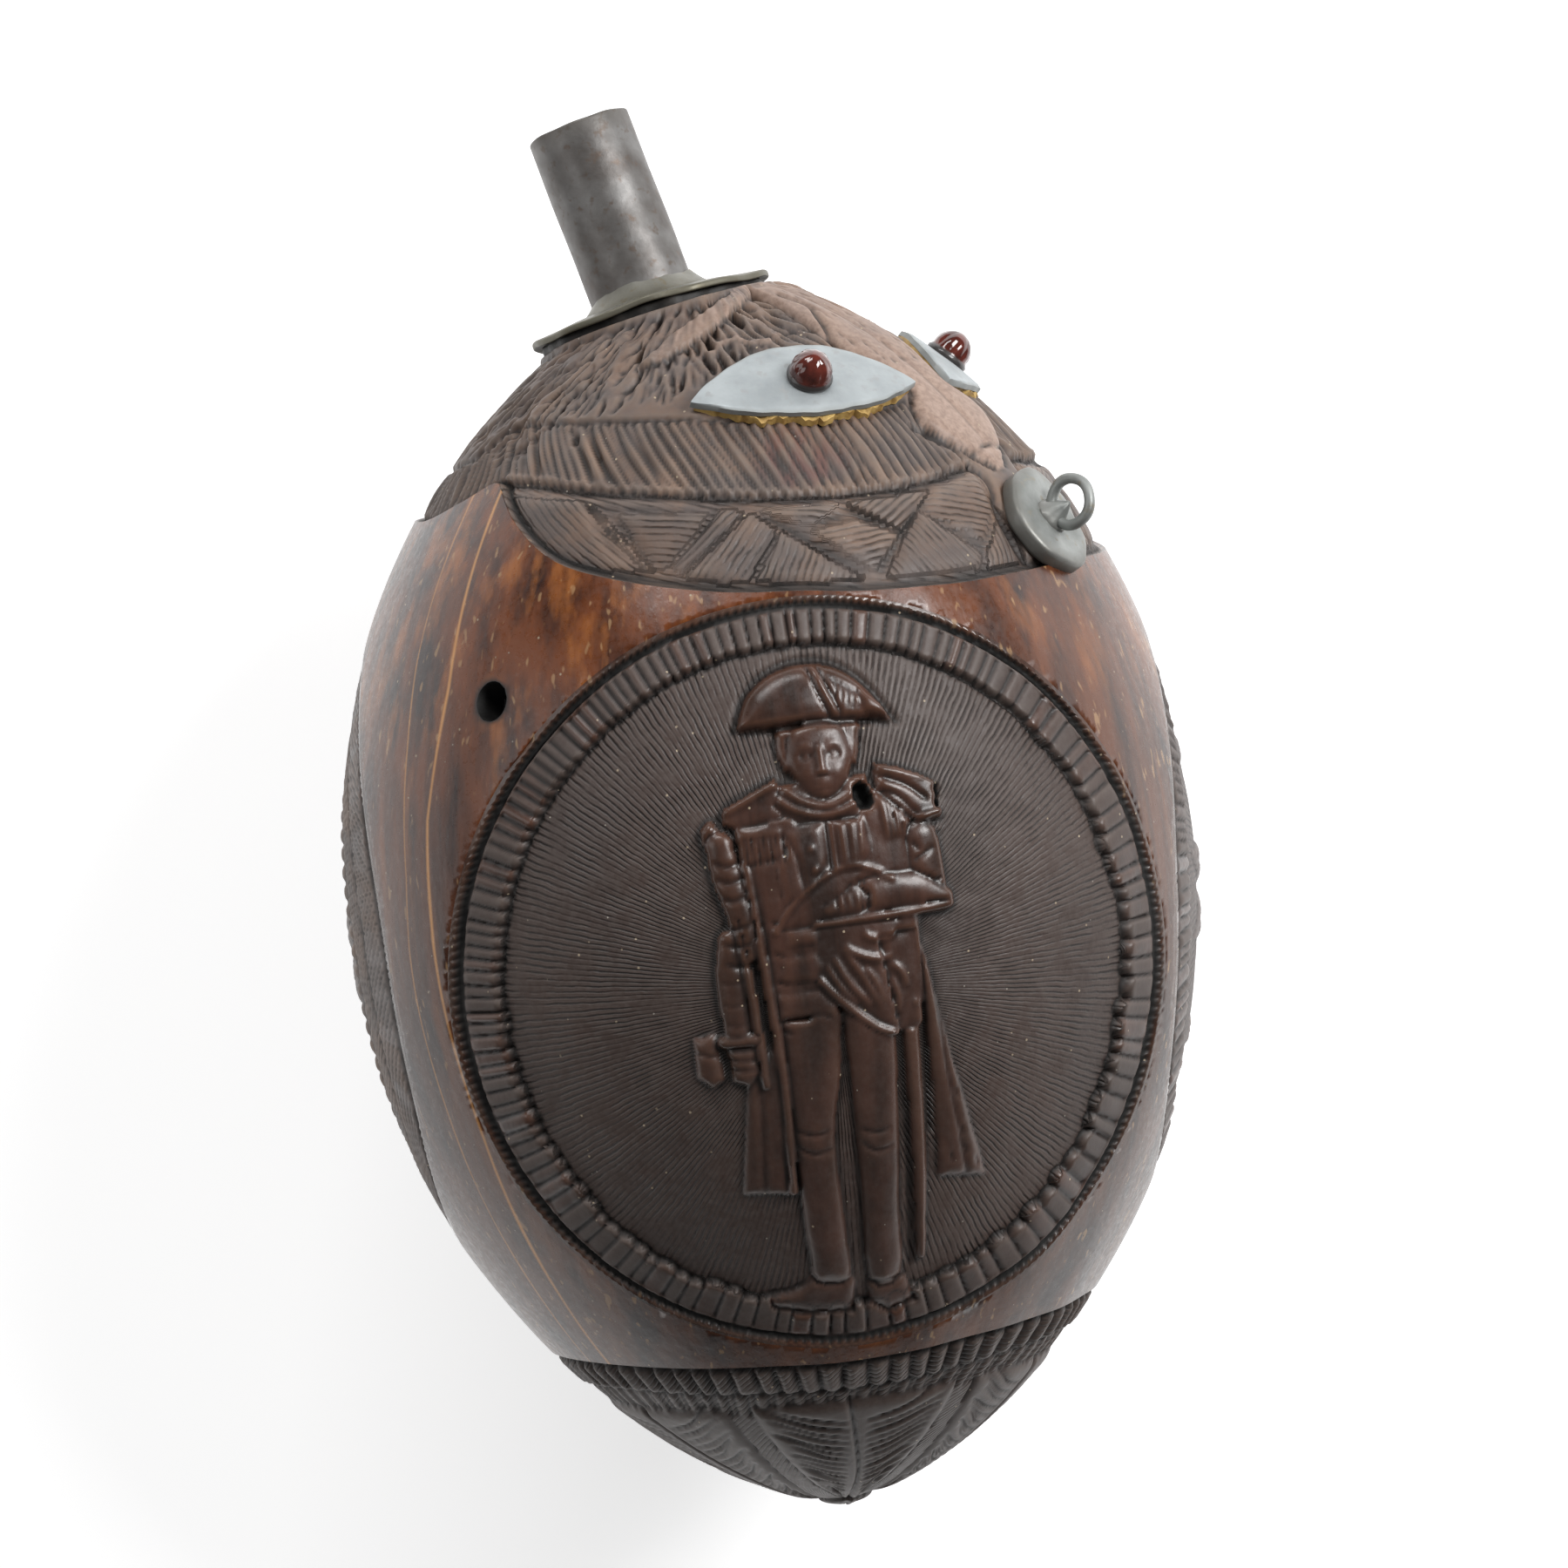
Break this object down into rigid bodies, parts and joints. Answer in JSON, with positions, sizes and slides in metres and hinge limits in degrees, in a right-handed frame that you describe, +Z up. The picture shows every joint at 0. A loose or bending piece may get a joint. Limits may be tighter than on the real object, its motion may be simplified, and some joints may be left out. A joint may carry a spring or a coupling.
{
  "type": "carved coconut flask",
  "caption": "Hollow coconut powder flask, carved with roundels and a beast's face, with a metal spout, inlaid eyes and a hanging ring.",
  "frame": {"origin": "on the surface that the flask lies on, under the middle of its overall box", "axes": "+Y from the pointed tip to the spout along the nut, +Z up and out of the front roundel, X across"},
  "size_m": [0.088, 0.1464, 0.0884],
  "materials": {
    "shell": "carved coconut shell, polished on the raised parts and dark in the grooves",
    "spout_metal": "dull grey zinc or pewter, worn and spotted",
    "plate_metal": "matt pale grey pewter sheet",
    "pitch": "black bedding pitch",
    "resin": "yellowed resin",
    "bead": "glossy dark red bead"
  },
  "bodies": {
    "root": {"coconut_shell": "shell", "spout_pitch_bed": "pitch", "spout_collar": "spout_metal", "spout_solder_ring": "spout_metal", "spout_tube": "spout_metal", "near_eye_resin": "resin", "near_eye_plate": "plate_metal", "near_eye_bead": "bead", "far_eye_resin": "resin", "far_eye_plate": "plate_metal", "far_eye_bead": "bead", "ring_plate": "plate_metal", "suspension_ring": "plate_metal"}
  },
  "joints": []
}
